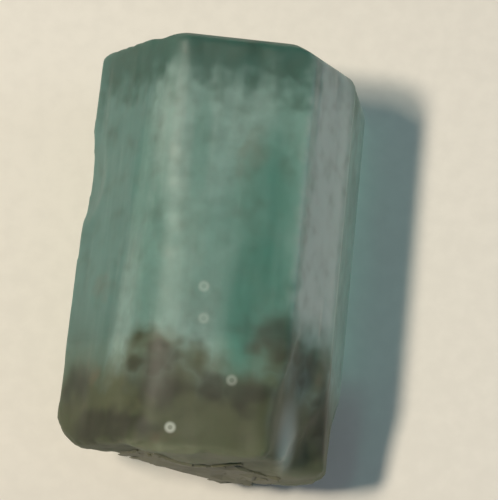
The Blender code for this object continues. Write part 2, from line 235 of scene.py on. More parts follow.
class EmeraldSurface(bpy.types.PropertyGroup):
    """The crystal's own surface and colour."""

    grain: length_setting("Grain", "Size of the surface's faces", 0.12 * MM)
    striation_depth: length_setting("Striation depth", "Of the lines along the sides", 0.008 * MM)
    edge_wear: length_setting("Edge wear", "How far the edges are bruised back", 0.10 * MM)
    break_relief: length_setting("Break relief", "Depth of the break's fine lumps", 0.11 * MM)
    body: colour_setting("Body", "The milky green of the body", (0.305, 0.46, 0.425))
    # Painted shade: the left sides, which face the lamps, are painted darker as well as greener
    side: colour_setting("Side", "The left sides, which are greener", (0.130, 0.255, 0.236))
    deep: colour_setting("Deep green", "The clearer, stronger zone", (0.065, 0.26, 0.21))
    # Milk is the colour of the milky streaks, and also of the painted sheen on the bevel and by the
    # left edge, and of the painted highlight on the ridge near the break
    milk: colour_setting("Milk", "Pale streaks and the worn bevel", (0.57, 0.64, 0.60))
    dusk: colour_setting("Dusk", "The dark zone behind the growth end", (0.05, 0.13, 0.105))
    olive: colour_setting("Olive", "The mica cloud", (0.077, 0.082, 0.035))
    smoke: colour_setting("Smoke", "The darkest mica cloud", (0.032, 0.034, 0.020))
    rust: colour_setting("Rust", "Brown stains", (0.20, 0.13, 0.09))
    bare: colour_setting("Bare", "The break's own rough face", (0.24, 0.25, 0.175))
    # Painted highlight: the glint painted on the etch pits' rims
    painted_glint: colour_setting("Glint", "The rims of the etch pits", (0.80, 0.86, 0.80))
    glass: colour_setting("Glass", "The tint of the clear beryl", (0.62, 0.82, 0.76))
    shade: colour_setting("Shade", "What a lamp's light keeps at each surface", (0.16, 0.27, 0.28))


class EmeraldMica(bpy.types.PropertyGroup):
    """The mica flakes that the crystal grew round."""

    flakes: IntProperty(name="Flakes", description="Thin flakes round the books", default=900)
    front_flakes: IntProperty(name="Front flakes", description="At the break", default=40)
    spread: length_setting("Spread", "How far the flakes stray from the books", 0.7 * MM)
    smallest: length_setting("Smallest", "Radius of the smallest flake", 0.07 * MM)
    largest: length_setting("Largest", "Radius of the largest flake", 0.42 * MM)
    thickness: length_setting("Thickness", "Of a flake", 0.03 * MM)
    depth: length_setting("Depth", "Least cover of beryl over a flake", 0.12 * MM)
    dark: colour_setting("Dark", "Dark flakes", (0.035, 0.028, 0.016))
    bronze: colour_setting("Bronze", "Lighter flakes", (0.16, 0.12, 0.06))
    weathered: colour_setting("Weathered", "Flakes at the break", (0.135, 0.140, 0.088))


class EmeraldVeils(bpy.types.PropertyGroup):
    """Growth tubes and healed fractures."""

    tubes: IntProperty(name="Tubes", description="Number of growth tubes", default=200)
    droplets: IntProperty(name="Droplets", description="Droplets in each veil", default=340)
    pale: colour_setting("Pale", "The milky fill", (0.62, 0.72, 0.66))


class EmeraldStage(bpy.types.PropertyGroup):
    """The floor, lamps and camera."""

    paper: colour_setting("Paper", "The pale floor", (0.80, 0.77, 0.715))
    sky: colour_setting("Sky", "Light from all round", (0.100, 0.124, 0.150))
    lamp: colour_setting("Lamp", "The lamps' warm light", (1.0, 0.91, 0.75))
    lamp_power: FloatProperty(
        name="Lamp power", description="Of both lamps together", default=0.6, unit="POWER"
    )
    fill: colour_setting("Fill", "The soft light from the right", (0.84, 0.94, 1.0))
    fill_power: FloatProperty(
        name="Fill power", description="Of the soft light", default=0.10, unit="POWER"
    )
    lamp_distance: length_setting("Lamp distance", "From the crystal", 250 * MM)
    lamp_width: length_setting("Lamp width", "A wider lamp softens the shadow", 25 * MM)
    camera_distance: length_setting("Camera distance", "From its target", 120.0 * MM)


# ------------------------------------------------------------------ the crystal's shape

ONE_POINT = 1e-6  # metres; points nearer than this are one
SHARP_ANGLE = math.radians(31.0)
BREAK_BEGINS_Y = -6.3 * MM  # the break and its chips lie below this
COARSE_GRAIN = 0.3 * MM  # of the surface that only tells what lies inside

# The mica, grown sideways and inwards until it fills its pocket in the crystal.
PLUG_GROWTH = 0.45 * MM
BEHIND_MICA = 0.03 * MM
TO_THE_BREAK = Vector((0.0, -1.0, 0.0))
# The break is drawn smooth in a ring round the mica: its reach, and the least -Y of a normal in it.
RING_REACH = 0.9 * MM
RING_FACING = 0.3
RING_ROUNDS = 8

SOFTENING = 0.5  # the share of the way to its neighbours' middle that a point moves in a round
SOFTENING_ROUNDS = 6
# The edge between the top side and the left side, in millimetres: where it crosses the origin's
# cross-section, and how fast it leans out towards the break.  It is worn round.
LEFT_EDGE_X = 3.83
LEFT_EDGE_SPREAD = 0.066
LEFT_EDGE_REACH = 0.7
LEFT_EDGE_LOWEST = 9.5
LEFT_EDGE_ROUNDS = 40
# The top side's ledges are low and worn between these two corners, in millimetres.
WORN_TOP_LOW = (-4.7, -8.4, 10.6)
WORN_TOP_HIGH = (3.2, 8.7, 12.0)
WORN_TOP_ROUNDS = 90
# The top side's part left of this x is flatter and flatter towards the break: below each y.
FLAT_TO_X = -0.8
FLAT_ENDS = (4.0, 2.5, 1.0, -0.5)
FLAT_ROUNDS = 90
WORN_BELOW_Y = -4.8  # the sides are worn smoother near the break
WORN_END_ROUNDS = 12
# Hollows left by mica near the break, worn nearly flat: their middles and reach in millimetres.
WORN_HOLLOWS = (
    ((-4.01, -7.65, 9.61), 0.75),
    ((0.37, -7.08, 11.6), 0.85),
    ((-2.43, -8.74, 11.6), 0.85),
)
WORN_ROUNDS = 60

# Relief: the size of each kind of mark, and its depth against the settings' own depth.
STRIATION = Vector((0.55, 9.0, 0.55)) * MM
FINE_STRIATION = Vector((0.24, 5.0, 0.24)) * MM
FINE_STRIATION_SHARE = 0.6
ENDWARD_FADE = 2.5  # how fast striations fade as a face turns towards an end
ETCH = Vector((0.9, 0.9, 0.9)) * MM
ETCH_SHARE = 0.5
BREAK_LUMP = Vector((0.55, 0.55, 0.40)) * MM
BREAK_GRIT = Vector((0.19, 0.19, 0.16)) * MM
BREAK_GRIT_SHARE = 0.45
BREAK_FADE = 1.2 * MM  # over which the lumps set in
BREAK_FACING = 0.12  # the least -Y of a lumpy face's normal
BREAK_FACING_GAIN = 3.0
# An edge is bruised where its faces turn by more than the first angle, and fully by the second.
BRUISED_ANGLE = math.radians(14.0)
FULLY_BRUISED_ANGLE = math.radians(60.0)
WEAR_CELL = Vector((0.5, 0.8, 0.5)) * MM
WEAR_LEVEL = 0.42  # the wear's noise bruises an edge where it is above this
WEAR_GAIN = 2.0


def merged_copy(node):
    """A CAD solid's surface as a bmesh, with its loose triangles joined."""
    bm = bmesh.new()
    bm.from_mesh(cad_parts[node].data)
    bmesh.ops.remove_doubles(bm, verts=bm.verts, dist=ONE_POINT)
    return bm


def surface_tree(node):
    bm = merged_copy(node)
    tree = BVHTree.FromBMesh(bm)
    bm.free()
    return tree


def joined_to(start):
    """Every face joined to this one."""
    joined, waiting = {start}, [start]
    while waiting:
        face = waiting.pop()
        for edge in face.edges:
            fresh = [other for other in edge.link_faces if other not in joined]
            joined.update(fresh)
            waiting.extend(fresh)
    return joined


def keep_outer_shell(bm):
    """Deletes all but the outer shell, which has the most faces."""
    loose, shells = set(bm.faces), []
    while loose:
        shells.append(joined_to(next(iter(loose))))
        loose -= shells[-1]
    outer = max(shells, key=len)
    others = [face for face in bm.faces if face not in outer]
    bmesh.ops.delete(bm, geom=others, context="FACES")


def add_plug(bm):
    """Adds what fills the mica's pocket, with its front just behind the mica's."""
    crystal = BVHTree.FromBMesh(bm)
    plug = merged_copy(MICA_NODE)
    plug.normal_update()
    moves = {}
    for vert in plug.verts:
        move = vert.normal * PLUG_GROWTH
        if crystal.ray_cast(vert.co, TO_THE_BREAK)[0] is None:
            move.y = BEHIND_MICA
        moves[vert] = move
    for vert, move in moves.items():
        vert.co += move
    mesh = bpy.data.meshes.new("plug")
    plug.to_mesh(mesh)
    plug.free()
    bm.from_mesh(mesh)
    bpy.data.meshes.remove(mesh)


def add_piece(name, bm, material):
    """Makes a finished mesh object that rides on the crystal."""
    mesh = bpy.data.meshes.new(name)
    bm.to_mesh(mesh)
    bm.free()
    mesh.materials.append(material)
    piece = bpy.data.objects.new(name, mesh)
    bpy.context.scene.collection.objects.link(piece)
    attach(piece, BODY)
    return piece


def soften(bm, verts, rounds):
    """Smooths part of a surface."""
    every_way = {"use_axis_x": True, "use_axis_y": True, "use_axis_z": True}
    for _ in range(rounds):
        bmesh.ops.smooth_vert(bm, verts=verts, factor=SOFTENING, **every_way)


def remeshed(bm, size):
    """The same surface in small even faces."""
    mesh = bpy.data.meshes.new("uneven")
    bm.to_mesh(mesh)
    bm.free()
    obj = bpy.data.objects.new("uneven", mesh)
    bpy.context.scene.collection.objects.link(obj)
    modifier = obj.modifiers.new("Even", "REMESH")
    modifier.mode = "VOXEL"
    modifier.voxel_size = size
    evaluated = obj.evaluated_get(bpy.context.evaluated_depsgraph_get())
    even = bpy.data.meshes.new_from_object(evaluated)
    fresh = bmesh.new()
    fresh.from_mesh(even)
    bpy.data.objects.remove(obj)
    bpy.data.meshes.remove(mesh)
    bpy.data.meshes.remove(even)
    return fresh


def whole_crystal(grain):
    """The crystal's outer surface, in small even faces, with no pocket for the mica."""
    bm = merged_copy(EMERALD_NODE)
    add_plug(bm)
    bm = remeshed(bm, grain)
    keep_outer_shell(bm)
    bm.normal_update()
    return bm


def ripple(place, cell):
    """Smooth noise from 0 to 1 at a place, with that cell size."""
    scaled = Vector((place.x / cell.x, place.y / cell.y, place.z / cell.z))
    return 0.5 + 0.5 * noise.noise(scaled)


def clamped(value):
    return min(1.0, max(0.0, value))


def side_depth(vert, settings):
    """How deep the striations and the etching go at a point."""
    on_side = clamped(1.0 - ENDWARD_FADE * abs(vert.normal.y))
    full = settings.striation_depth
    depth = full * on_side * ripple(vert.co, STRIATION)
    depth += FINE_STRIATION_SHARE * full * on_side * ripple(vert.co, FINE_STRIATION)
    return depth + ETCH_SHARE * full * ripple(vert.co, ETCH)


def break_depth(vert, settings):
    """How deep the break's lumps go at a point."""
    rough = clamped((BREAK_BEGINS_Y - vert.co.y) / BREAK_FADE)
    rough *= clamped((-vert.normal.y - BREAK_FACING) * BREAK_FACING_GAIN)
    lumps = ripple(vert.co, BREAK_LUMP) + BREAK_GRIT_SHARE * ripple(vert.co, BREAK_GRIT)
    return settings.break_relief * rough * lumps


def bruise_depth(vert, settings):
    """How far an edge is worn back at a point; nothing away from the edges."""
    turn = max((edge.calc_face_angle(0.0) for edge in vert.link_edges), default=0.0)
    if turn <= BRUISED_ANGLE:
        return 0.0
    bruise = max(0.0, ripple(vert.co, WEAR_CELL) - WEAR_LEVEL) * WEAR_GAIN
    return settings.edge_wear * bruise * min(1.0, turn / FULLY_BRUISED_ANGLE)


def relief(bm, settings):
    """Sinks striations, etching, break lumps and edge wear into the surface, never outwards."""
    bm.normal_update()
    sunk = {}
    for vert in bm.verts:
        depth = side_depth(vert, settings) + break_depth(vert, settings)
        depth += bruise_depth(vert, settings)
        sunk[vert] = vert.normal * -depth
    for vert, move in sunk.items():
        vert.co += move


def lies_between(place, low, high):
    """Whether a place lies in a box given in millimetres."""
    return all(least < value / MM < greatest for least, value, greatest in zip(low, place, high))


def soften_ring(bm):
    """Draws the break smooth round the mica."""
    mica = surface_tree(MICA_NODE)
    ring = [
        vert
        for vert in bm.verts
        if vert.co.y < BREAK_BEGINS_Y
        and vert.normal.y < -RING_FACING
        and mica.find_nearest(vert.co)[3] < RING_REACH
    ]
    soften(bm, ring, RING_ROUNDS)


def soften_worn_sides(bm):
    """Wears down the left edge, the top side's ledges and the sides near the break."""
    edge, top, end = [], [], []
    for vert in bm.verts:
        x, y, z = vert.co / MM
        if lies_between(vert.co, WORN_TOP_LOW, WORN_TOP_HIGH):
            top.append(vert)
        aside = abs(x + LEFT_EDGE_X - LEFT_EDGE_SPREAD * y)
        if aside < LEFT_EDGE_REACH and z > LEFT_EDGE_LOWEST:
            edge.append(vert)
        if y < WORN_BELOW_Y:
            end.append(vert)
    soften(bm, edge, LEFT_EDGE_ROUNDS)
    soften(bm, top, WORN_TOP_ROUNDS)
    for flat_end in FLAT_ENDS:
        high = (FLAT_TO_X, flat_end, WORN_TOP_HIGH[2])
        flat = [vert for vert in top if lies_between(vert.co, WORN_TOP_LOW, high)]
        soften(bm, flat, FLAT_ROUNDS)
    soften(bm, end, WORN_END_ROUNDS)


def soften_hollows(bm):
    """Wears the hollows near the break nearly flat."""
    for middle, reach in WORN_HOLLOWS:
        middle = Vector(middle) * MM
        worn = [vert for vert in bm.verts if (vert.co - middle).length < reach * MM]
        soften(bm, worn, WORN_ROUNDS)


def crystal_mesh(settings):
    """The crystal's outer surface, worn smooth and then given its relief."""
    bm = whole_crystal(settings.grain)
    soften_ring(bm)
    soften_worn_sides(bm)
    soften_hollows(bm)
    soften(bm, bm.verts, SOFTENING_ROUNDS)
    relief(bm, settings)
    bmesh.ops.recalc_face_normals(bm, faces=bm.faces)
    return bm


# ------------------------------------------------------------------ the crystal's look

BERYL_IOR = 1.58
GLASS_SHARE = 0.5  # of its own tint in the clear beryl
MILKY_SHEEN = 0.28  # the milky parts are finely etched, so they shine less
SUBSURFACE_WEIGHT = 0.7
SUBSURFACE_RADIUS = (1.0, 1.5, 1.3)
SUBSURFACE_SCALE = 1.2 * MM
ABSORPTION_COLOUR = (0.30, 0.80, 0.74, 1.0)
ABSORPTION_DENSITY = 110.0  # in 1/m
BUMP_STRENGTH = 0.10
BUMP_DISTANCE = 0.02 * MM
BUMP_MOTES = 0.5

STREAKS = Pattern((1.1, 0.10, 1.1), 3.0)
FINE_STREAKS = Pattern((3.6, 0.22, 3.6), 2.0, 9.0)
CLOUDS = Pattern((0.45, 0.28, 0.45), 4.0, 4.0)
MOTES = Pattern((1.6, 1.2, 1.6), 3.0, 21.0)
BLOTCHES = Pattern((1.7, 1.7, 1.7), 2.5, 33.0)
SOFT_BLOTCHES = Pattern((1.25, 1.25, 1.25), 1.0, 33.0)
STIR_SCALE = 0.8
STIR_REACH = 1.5

DEEP_ZONE = Zone((1.75, -2.6, 9.5), (1.6, 4.2, 6.0))
FAR_DEEP_ZONE = Zone((1.6, 1.4, 9.5), (1.5, 3.4, 6.0))
GREEN_STREAKS = (
    Zone((-3.7, 2.6, 10.6), (0.45, 2.6, 2.4)),
    Zone((-1.3, 3.6, 11.2), (0.40, 3.0, 2.4)),
    Zone((-1.3, -0.4, 11.2), (1.5, 2.6, 2.4)),
    Zone((2.7, 4.4, 11.0), (1.1, 3.2, 2.4)),
    # Painted shade: this streak dims a highlight on the ledge by the left edge
    Zone((-2.65, -0.9, 11.0), (0.9, 4.2, 2.4)),
)
# A pale streak by the left edge, painted as a sheen
SHEEN_STREAK = Zone((-2.6, 5.2, 11.0), (0.55, 3.6, 2.5))
# Painted highlight: a ridge near the break, painted pale as if it caught the light
RIDGE_HIGHLIGHT = Zone((3.75, -8.2, 10.6), (0.42, 1.6, 2.5))
CLOUD_LUMPS = (
    Zone((-2.5, -5.2, 10.4), (1.15, 1.05, 3.0)),
    Zone((-0.9, -5.4, 10.4), (1.2, 0.8, 3.0)),
    Zone((3.0, -4.4, 10.4), (0.95, 1.15, 3.0)),
    Zone((4.9, -5.0, 8.8), (0.9, 1.25, 2.6)),
)
SMOKE_SPOTS = (
    Zone((2.75, -4.0, 11.0), (1.2, 1.0, 2.2)),
    Zone((3.9, -4.6, 10.2), (0.8, 0.9, 1.8)),
    Zone((-2.2, -5.5, 11.0), (1.1, 0.7, 2.0)),
    Zone((0.3, -6.4, 11.0), (0.9, 0.6, 2.0)),
    Zone((-1.9, -6.4, 11.0), (1.3, 0.9, 2.0)),
    Zone((-3.6, -8.2, 10.4), (1.5, 0.75, 2.4)),
    Zone((1.8, -6.4, 11.0), (0.9, 0.7, 2.0)),
    Zone((5.5, -6.6, 7.5), (0.9, 1.6, 1.5)),
    Zone((-4.6, -8.2, 9.0), (1.2, 0.7, 2.4)),
    Zone((-5.6, -6.2, 6.6), (0.6, 0.8, 1.4)),
)
RUST_SPOTS = (
    Zone((-1.8, -8.7, 11.2), (0.9, 0.35, 1.2)),
    Zone((4.8, -4.6, 9.0), (0.45, 0.9, 1.2)),
    Zone((0.9, 4.1, 11.2), (0.5, 1.0, 1.4)),
    Zone((-4.9, -1.8, 8.2), (0.35, 0.5, 1.2)),
    Zone((-5.1, -5.8, 7.7), (0.4, 0.5, 1.2)),
)
# Etch pits with a painted highlight, a pale ring of glint, on their rims: where they lie in the top
# side, and how pale each painted glint is.
PAINTED_GLINT_PITS = (
    (-0.58, -2.02, 0.30),
    (-0.45, -3.40, 0.24),
    (1.00, -5.93, 0.22),
    (-1.40, -8.20, 0.50),
)
GLINT_SIZE = (0.23, 0.23, 0.50)
GLINT_HEART_SIZE = (0.10, 0.10, 0.50)
TOP_SIDE_Z = 11.6

# How wide the zones' soft edges are, as a share of their half sizes.
GREEN_EDGE = 0.9
LUMP_EDGE = 1.7
SMOKE_EDGE = 1.5
RUST_EDGE = 1.0
GLINT_EDGE = 0.7
RIDGE_HIGHLIGHT_EDGE = 1.4

# Where each mask begins and where it is full: in millimetres along Y if nothing else is said.
LEFT_SIDE = (0.1, -0.4)  # to the right of the left edge
CLOUD_END = (-3.7, -6.9)
LEFT_CLOUD_END = (-1.6, -7.4)
NEAR_CLOUD = (-2.8, -4.8)
# The bevel's band is milkier and painted lighter, a painted sheen
BEVEL_ACROSS = (2.9, 3.8)  # along X
BEVEL_UP = (7.2, 8.4)  # along Z
BEVEL_ALONG = (-4.6, -2.2)
DUSK_ALONG = (5.9, 8.1)
DUSK_UP = (4.5, 7.5)  # along Z
BARE_END = (-8.7, -9.3)
ROUGH_BREAK = (-7.6, -9.0)
WORN_EDGE = (1.0, 0.3)  # away from the left edge
# The same, of a noise or of a mask that a noise has stirred.
LUMP_LEVELS = (-0.15, 1.1)
SMOKE_LEVELS = (-0.1, 0.95)
RUST_LEVELS = (0.25, 0.65)
STREAK_LEVELS = (0.3, 0.6)
FINE_STREAK_LEVELS = (0.45, 0.75)
SHADE_LEVELS = (0.35, 0.65)

# How far noise moves the masks' edges, either way together, in millimetres.
CLOUD_RAGGED = 2.4
CLOUD_RAGGED_SOFTLY = 1.5
BEVEL_RAGGED = 0.8
DUSK_STREAKED = 1.4
DUSK_RAGGED = 2.6
ZONE_RAGGED = 0.8  # of the lumps' and the smoke's masks, without a unit
# Other changes to the masks.
CLOUD_LEFT_SHIFT = 0.2  # millimetres
SMOKE_STRENGTH = 0.9
DEEP_STEADY = 0.7
DEEP_STREAKED = 0.3
SHEEN_STREAK_BREAKS_DUSK = 0.3
BEVEL_BREAKS_DUSK = 0.8
GLINT_HEART_DULLED = 0.5

# The body's shade: how much of it each noise makes, and how light its dark is; and how light the
# left sides' olive is, painted darker as shade.
SHADE_CLOUDS = 0.5
SHADE_BLOTCHES = 0.35
SHADE_STREAKS = 0.15
DARKER_BODY = 0.72
SHADED_OLIVE = 0.8

# What part of the colour each layer is, where its mask is full.
# The left sides are painted darker, as shade
SIDE_SHADE_SHARE = 0.85
FINE_STREAK_SHARE = 0.08
DEEP_SHARE = 0.95
FAR_DEEP_SHARE = 0.7
GREEN_SHARE = 0.3
SHEEN_STREAK_SHARE = 0.2
BEVEL_SHEEN_SHARE = 0.93
DUSK_SHARE = 0.95
LEFT_OLIVE_SHADE_SHARE = 0.6
CLOUD_SHARE = 0.94
RUST_SHARE = 0.3
SMOKE_SHARE = 0.4
SMOKE_IN_CLOUD = 0.5  # more, in the cloud
BARE_SHARE = 0.65
RIDGE_HIGHLIGHT_SHARE = 0.66

ROUGHNESS = 0.38
ROUGHER_MOTES = 0.2
ROUGHER_WEAR = 0.2
MILKINESS = 0.50
MILKIER_CLOUDS = 0.25
CLEARER_DEEP = 0.2
CLOUD_MILKINESS = 0.88
DUSK_MILKINESS = 0.6
BEVEL_MILKINESS = 0.8


class EmeraldLook(Look):
    """The emerald's material: its noises, then its masks, colour and gloss."""

    def __init__(self, settings):
        super().__init__("emerald")
        self.settings = settings
        self.across, self.along, self.up = (
            self.node("SeparateXYZ", {}, {0: self.place}, axis) for axis in "XYZ"
        )
        self.streaks = self.grain(STREAKS)
        self.fine_streaks = self.grain(FINE_STREAKS)
        self.clouds = self.grain(CLOUDS)
        self.motes = self.grain(MOTES)
        self.blotches = self.grain(BLOTCHES)
        self.soft = self.grain(SOFT_BLOTCHES)
        self.from_left_edge = self.across + LEFT_EDGE_X - LEFT_EDGE_SPREAD * self.along
        self.left = self.ease(self.from_left_edge, *LEFT_SIDE)
        self.mask_mica_cloud()
        self.mask_greens()
        self.mask_bevel_sheen()
        self.mask_dusk()
        self.mask_painted_glints()

    def mask_mica_cloud(self):
        """The mica cloud: all below a ragged line, and the lumps that stand over it."""
        ragged = self.along + self.left * CLOUD_LEFT_SHIFT + swing(self.clouds, CLOUD_RAGGED)
        ragged = ragged + swing(self.soft, CLOUD_RAGGED_SOFTLY)
        low = self.ease(ragged, *CLOUD_END)
        left_low = self.left * self.ease(ragged, *LEFT_CLOUD_END)
        stirred = self.stirred(STIR_SCALE, STIR_REACH)
        lumps = self.any_zone(stirred, CLOUD_LUMPS, LUMP_EDGE) + swing(self.soft, ZONE_RAGGED)
        self.cloud = self.most([low, left_low, self.ease(lumps, *LUMP_LEVELS)])
        smoke = self.any_zone(stirred, SMOKE_SPOTS, SMOKE_EDGE) * SMOKE_STRENGTH
        self.smoke = self.ease(smoke + swing(self.soft, ZONE_RAGGED), *SMOKE_LEVELS)
        rust = self.any_zone(stirred, RUST_SPOTS, RUST_EDGE)
        self.rust = rust * self.ease(self.motes, *RUST_LEVELS)

    def mask_greens(self):
        """The clear green zone, the green streaks, one of them painted shade, and the pale streak
        by the left edge, a painted sheen.
        """
        near = self.spot(self.place, DEEP_ZONE, GREEN_EDGE)
        far = self.spot(self.place, FAR_DEEP_ZONE, GREEN_EDGE)
        deep = self.most([near, FAR_DEEP_SHARE * far])
        streaked = DEEP_STREAKED * self.ease(self.streaks, *STREAK_LEVELS)
        self.deep = deep * (DEEP_STEADY + streaked)
        self.green = self.any_zone(self.place, GREEN_STREAKS, GREEN_EDGE)
        # The painted sheen by the left edge
        self.pale = self.spot(self.place, SHEEN_STREAK, GREEN_EDGE)

    def mask_bevel_sheen(self):
        """The pale band on the bevel at the right of the top side: milkier, and painted lighter as
        a sheen.
        """
        across = self.across + swing(self.blotches, BEVEL_RAGGED)
        bevel = self.ease(across, *BEVEL_ACROSS) * self.ease(self.up, *BEVEL_UP)
        self.bevel = bevel * self.ease(self.along, *BEVEL_ALONG)

    def mask_dusk(self):
        """The dark zone behind the growth end, broken by the painted sheen of the pale streak and
        of the bevel.
        """
        along = self.along + swing(self.streaks, DUSK_STREAKED) + swing(self.soft, DUSK_RAGGED)
        dusk = self.ease(along, *DUSK_ALONG) * self.ease(self.up, *DUSK_UP)
        dusk = dusk * (1.0 - SHEEN_STREAK_BREAKS_DUSK * self.pale)
        self.dusk = dusk * (1.0 - BEVEL_BREAKS_DUSK * self.bevel)

    def mask_painted_glints(self):
        """The painted glints: a pale highlight painted on each etch pit's rim, with a duller heart.
        """
        pits = []
        for x, y, share in PAINTED_GLINT_PITS:
            centre = (x, y, TOP_SIDE_Z)
            pit = self.spot(self.place, Zone(centre, GLINT_SIZE), GLINT_EDGE)
            heart = self.spot(self.place, Zone(centre, GLINT_HEART_SIZE), GLINT_EDGE)
            pits.append(share * pit * (1.0 - GLINT_HEART_DULLED * heart))
        self.painted_glint = self.most(pits)

    def colour(self):
        """The body's colour, with the other colours laid over it in turn; among them are painted
        shade, painted sheen and painted highlights.
        """
        tints = self.settings
        milk, green = opaque(tints.milk), opaque(tints.deep)
        shade = self.clouds * SHADE_CLOUDS + self.blotches * SHADE_BLOTCHES
        shade = self.ease(shade + self.streaks * SHADE_STREAKS, *SHADE_LEVELS)
        colour = self.mix(shade, opaque(tints.body), darker(tints.body, DARKER_BODY))
        # Painted shade: the left sides, which face the lamps, get a darker olive and a darker green
        shaded_left_olive = darker(tints.olive, SHADED_OLIVE)
        olive = self.mix(self.left * LEFT_OLIVE_SHADE_SHARE, opaque(tints.olive), shaded_left_olive)
        layers = (
            # painted shade on the left sides
            (self.left * SIDE_SHADE_SHARE, opaque(tints.side)),
            (self.ease(self.fine_streaks, *FINE_STREAK_LEVELS) * FINE_STREAK_SHARE, milk),
            (self.deep * DEEP_SHARE, green),
            (self.green * GREEN_SHARE, green),
            # painted sheen by the left edge
            (self.pale * SHEEN_STREAK_SHARE, milk),
            # painted sheen on the bevel
            (self.bevel * BEVEL_SHEEN_SHARE, milk),
            (self.dusk * DUSK_SHARE, opaque(tints.dusk)),
            (self.cloud * CLOUD_SHARE, olive),
            (self.rust * RUST_SHARE, opaque(tints.rust)),
            (self.smoke * (SMOKE_SHARE + SMOKE_IN_CLOUD * self.cloud), opaque(tints.smoke)),
            (self.ease(self.along, *BARE_END) * BARE_SHARE, opaque(tints.bare)),
            # painted highlight on the ridge near the break
            (self.spot(self.place, RIDGE_HIGHLIGHT, RIDGE_HIGHLIGHT_EDGE) * RIDGE_HIGHLIGHT_SHARE, milk),
            # painted highlight: the glints on the etch pits
            (self.painted_glint, opaque(tints.painted_glint)),
        )
        for share, tint in layers:
            colour = self.mix(share, colour, tint)
        return colour

    def roughness(self):
        """Rougher at the break and on the worn left edge, and mottled."""
        worn_edge = self.ease(self.maths("ABSOLUTE", self.from_left_edge), *WORN_EDGE)
        worn = self.maths("MAXIMUM", self.ease(self.along, *ROUGH_BREAK), worn_edge)
        return ROUGHNESS + ROUGHER_MOTES * self.motes + ROUGHER_WEAR * worn

    def bump(self):
        height = self.fine_streaks + BUMP_MOTES * self.motes
        values = {"Strength": BUMP_STRENGTH, "Distance": BUMP_DISTANCE, "Height": height}
        return self.node("Bump", {}, values)

    def milkiness(self):
        """1 where the beryl is milky, and 0 where it is clear."""
        body = MILKINESS + MILKIER_CLOUDS * self.clouds - CLEARER_DEEP * self.deep
        cloud = self.ease(self.along, *NEAR_CLOUD) * CLOUD_MILKINESS
        dusk = self.dusk * DUSK_MILKINESS
        # The painted glints are fully milky.
        return self.most([body, cloud, dusk, self.bevel * BEVEL_MILKINESS, self.painted_glint])


def emerald_material(settings):
    """Clear and milky beryl, mixed, which the lamps' light passes through, tinted."""
    look = EmeraldLook(settings)
    colour = look.colour()
    shared = {"Roughness": look.roughness(), "IOR": BERYL_IOR, "Normal": look.bump()}
    clear = look.principled(
        {
            "Base Color": look.mix(GLASS_SHARE, colour, opaque(settings.glass)),
            "Transmission Weight": 1.0,
            **shared,
        }
    )
    milky = look.principled(
        {
            "Base Color": colour,
            "Specular IOR Level": MILKY_SHEEN,
            "Subsurface Weight": SUBSURFACE_WEIGHT,
            "Subsurface Radius": SUBSURFACE_RADIUS,
            "Subsurface Scale": SUBSURFACE_SCALE,
            **shared,
        }
    )
    body = look.blend(look.milkiness(), clear, milky)
    lamp_way = look.node("LightPath", {}, {}, "Is Shadow Ray")
    passing = look.node("BsdfTransparent", {}, {"Color": opaque(settings.shade)})
    absorption = {"Color": ABSORPTION_COLOUR, "Density": ABSORPTION_DENSITY}
    volume = look.node("VolumeAbsorption", {}, absorption)
    return look.finish(look.blend(lamp_way, body, passing), volume)


class EMERALD_OT_crystal(bpy.types.Operator):
    """Finish the crystal's surface in place of the plain solid"""

    bl_idname = "emerald.crystal"
    bl_label = "Crystal"

    def execute(self, context):
        settings = context.scene.emerald_surface
        bm = crystal_mesh(settings)
        piece = add_piece("crystal_surface", bm, emerald_material(settings))
        piece.data.shade_smooth()
        piece.data.set_sharp_from_angle(angle=SHARP_ANGLE)
        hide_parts(EMERALD_NODE)
        return {"FINISHED"}


# ------------------------------------------------------------------ inside the crystal


QUARTER_TURN = math.pi / 2
MICA_SEED = 3
MICA_IOR = 1.6
MICA_PATCHES = Pattern((2.5, 2.5, 2.5), 2.0)
MICA_PATCH_LEVELS = (0.45, 0.7)
MICA_ROUGHNESS = 0.25
ROUGHER_PATCHES = 0.3
ROUGHER_WEATHERED = 0.25
# Mica weathers towards the break, from the first y to the second, along a ragged line.
WEATHERED_END = (-8.3, -8.8)
WEATHERED_RAGGED = 0.6
WEATHERED_SHARE = 0.8
FLAKE_SIDES = 6
# How far a flake may sink into a book or stand off it, as shares of the spread.
FLAKE_STANDOFF = (-0.3, 1.0)
FRONT_FACING = 0.85  # the least -Y of a normal on a book's front
FRONT_TILT = 0.06  # radians
FRONT_DEPTH = 0.01 * MM


class Inside:
    """Tells whether a point lies in the crystal, under a given cover of beryl."""

    def __init__(self):
        whole = whole_crystal(COARSE_GRAIN)
        self.tree = BVHTree.FromBMesh(whole)
        whole.free()

    def holds(self, point, cover):
        nearest, normal, _, distance = self.tree.find_nearest(point)
        return distance > cover and (point - nearest).dot(normal) < 0.0


def random_turn(chance):
    """A turn to any direction."""
    axis = Vector((chance.gauss(0, 1), chance.gauss(0, 1), chance.gauss(0, 1)))
    return Matrix.Rotation(chance.uniform(0, math.tau), 4, axis.normalized())


def add_flake(bm, centre, radius, thickness, turn):
    """A six-sided plate."""
    bmesh.ops.create_cone(
        bm,
        cap_ends=True,
        segments=FLAKE_SIDES,
        radius1=radius,
        radius2=radius,
        depth=thickness,
        matrix=Matrix.Translation(centre) @ turn,
    )


def add_loose_flakes(bm, roots, areas, chance, settings):
    """Thin flakes on the books and in the beryl round them, turned any way."""
    inside = Inside()
    for place, normal in chance.choices(roots, areas, k=settings.flakes):
        radius = settings.smallest * (settings.largest / settings.smallest) ** chance.random()
        centre = place + normal * chance.uniform(*FLAKE_STANDOFF) * settings.spread
        turn = random_turn(chance)
        if inside.holds(centre, radius + settings.depth):
            add_flake(bm, centre, radius, settings.thickness, turn)


